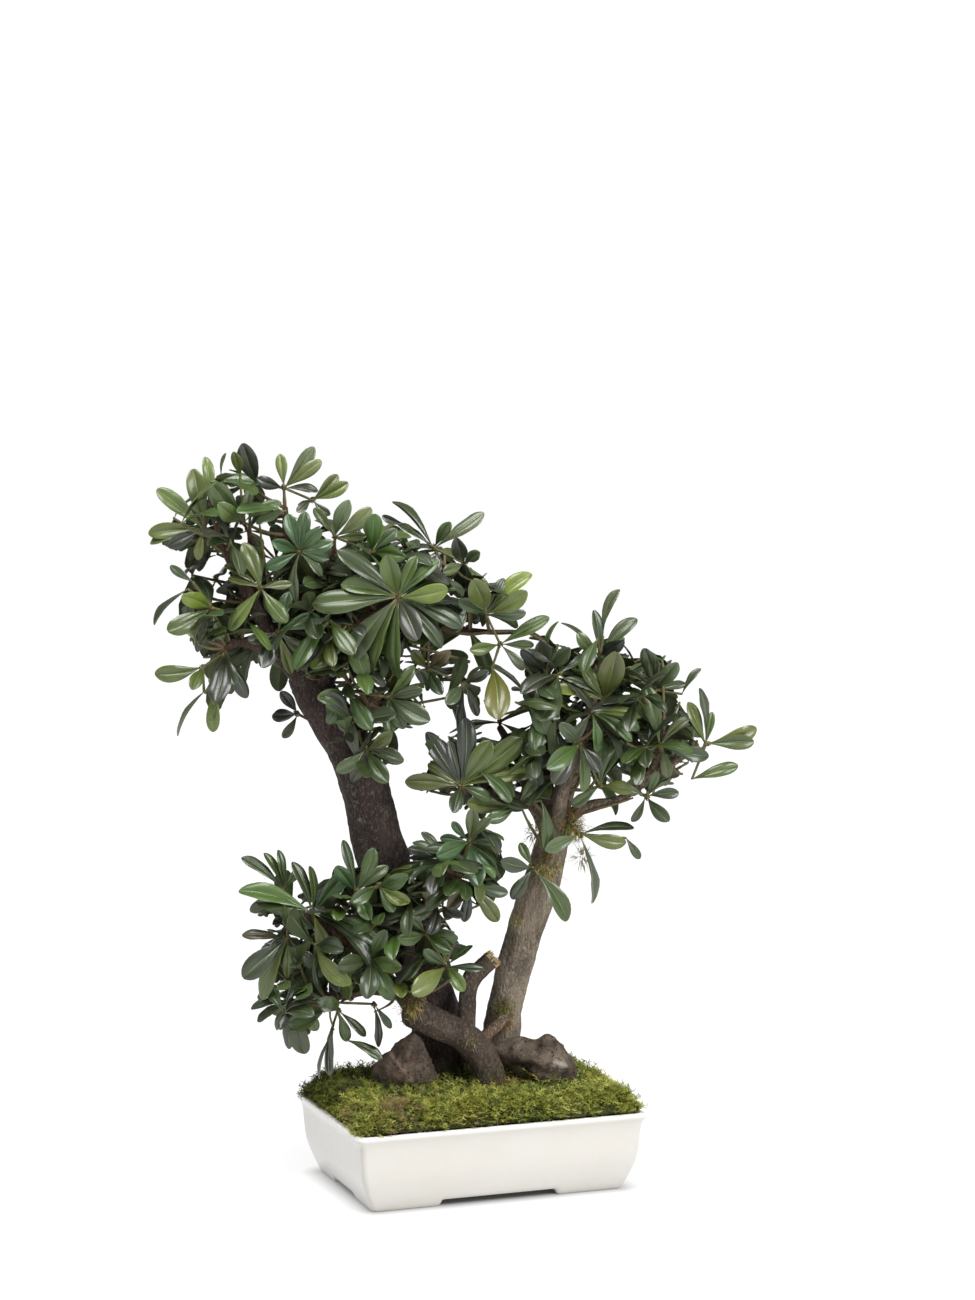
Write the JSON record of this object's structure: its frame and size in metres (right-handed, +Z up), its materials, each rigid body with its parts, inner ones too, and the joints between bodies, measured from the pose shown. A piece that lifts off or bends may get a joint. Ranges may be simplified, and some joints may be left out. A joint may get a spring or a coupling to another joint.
{
  "type": "pittosporum bonsai",
  "caption": "Pittosporum bonsai with leaning stems and whorls of leathery leaves, rooted among rocks and moss in a rectangular white glazed pot on corner feet.",
  "frame": {"origin": "under the middle of the whole plant's box, on the surface that the pot's feet stand on", "axes": "+X along the pot's long side, +Y towards the plant's back, +Z up"},
  "size_m": [0.582, 0.343, 0.7688],
  "materials": {
    "glazed_white": "glossy glaze",
    "drain_net": "moulded net",
    "soil": "granular",
    "moss": "fine tufts",
    "rock": "rough",
    "dark_bark": "bark",
    "grey_bark": "bark with lichen",
    "leaf": "satin leaf"
  },
  "bodies": {
    "root": {"pot": "glazed_white", "foot_front_left": "glazed_white", "foot_front_right": "glazed_white", "foot_back_left": "glazed_white", "foot_back_right": "glazed_white", "drain_screen_left": "drain_net", "drain_screen_right": "drain_net", "soil": "soil", "moss": "moss", "rock_left": "rock", "rock_right": "rock", "trunk_left": "dark_bark", "trunk_right": "grey_bark", "trunk_low": "dark_bark", "peak_leaves": "leaf", "outer_left_leaves": "leaf", "upper_left_leaves": "leaf", "rosette_leaves": "leaf", "inner_left_leaves": "leaf", "left_leaves": "leaf", "drooping_left_leaves": "leaf", "throat_leaves": "leaf", "nape_leaves": "leaf", "middle_top_leaves": "leaf", "great_whorl_leaves": "leaf", "right_top_leaves": "leaf", "right_edge_leaves": "leaf", "upper_trunk_leaves": "leaf", "collar_leaves": "leaf", "shaded_middle_leaves": "leaf", "right_peak_leaves": "leaf", "right_shoulder_leaves": "leaf", "right_face_leaves": "leaf", "right_crest_leaves": "leaf", "right_flank_leaves": "leaf", "right_tip_leaves": "leaf", "right_under_leaves": "leaf", "right_lower_leaves": "leaf", "near_left_leaves": "leaf", "near_low_leaves": "leaf", "right_trunk_leaves": "leaf", "right_fork_leaves": "leaf", "low_rosette_leaves": "leaf", "low_right_leaves": "leaf", "low_left_leaves": "leaf", "low_outer_leaves": "leaf", "low_top_leaves": "leaf", "low_front_leaves": "leaf", "low_corner_leaves": "leaf", "hanging_leaves": "leaf", "back_crown_top_leaves": "leaf", "back_crown_left_leaves": "leaf", "back_crown_low_leaves": "leaf", "back_crown_middle_leaves": "leaf", "back_crown_right_leaves": "leaf", "back_crown_side_leaves": "leaf", "back_right_top_leaves": "leaf", "back_right_low_leaves": "leaf", "back_right_left_leaves": "leaf", "back_low_leaves": "leaf"}
  },
  "joints": []
}
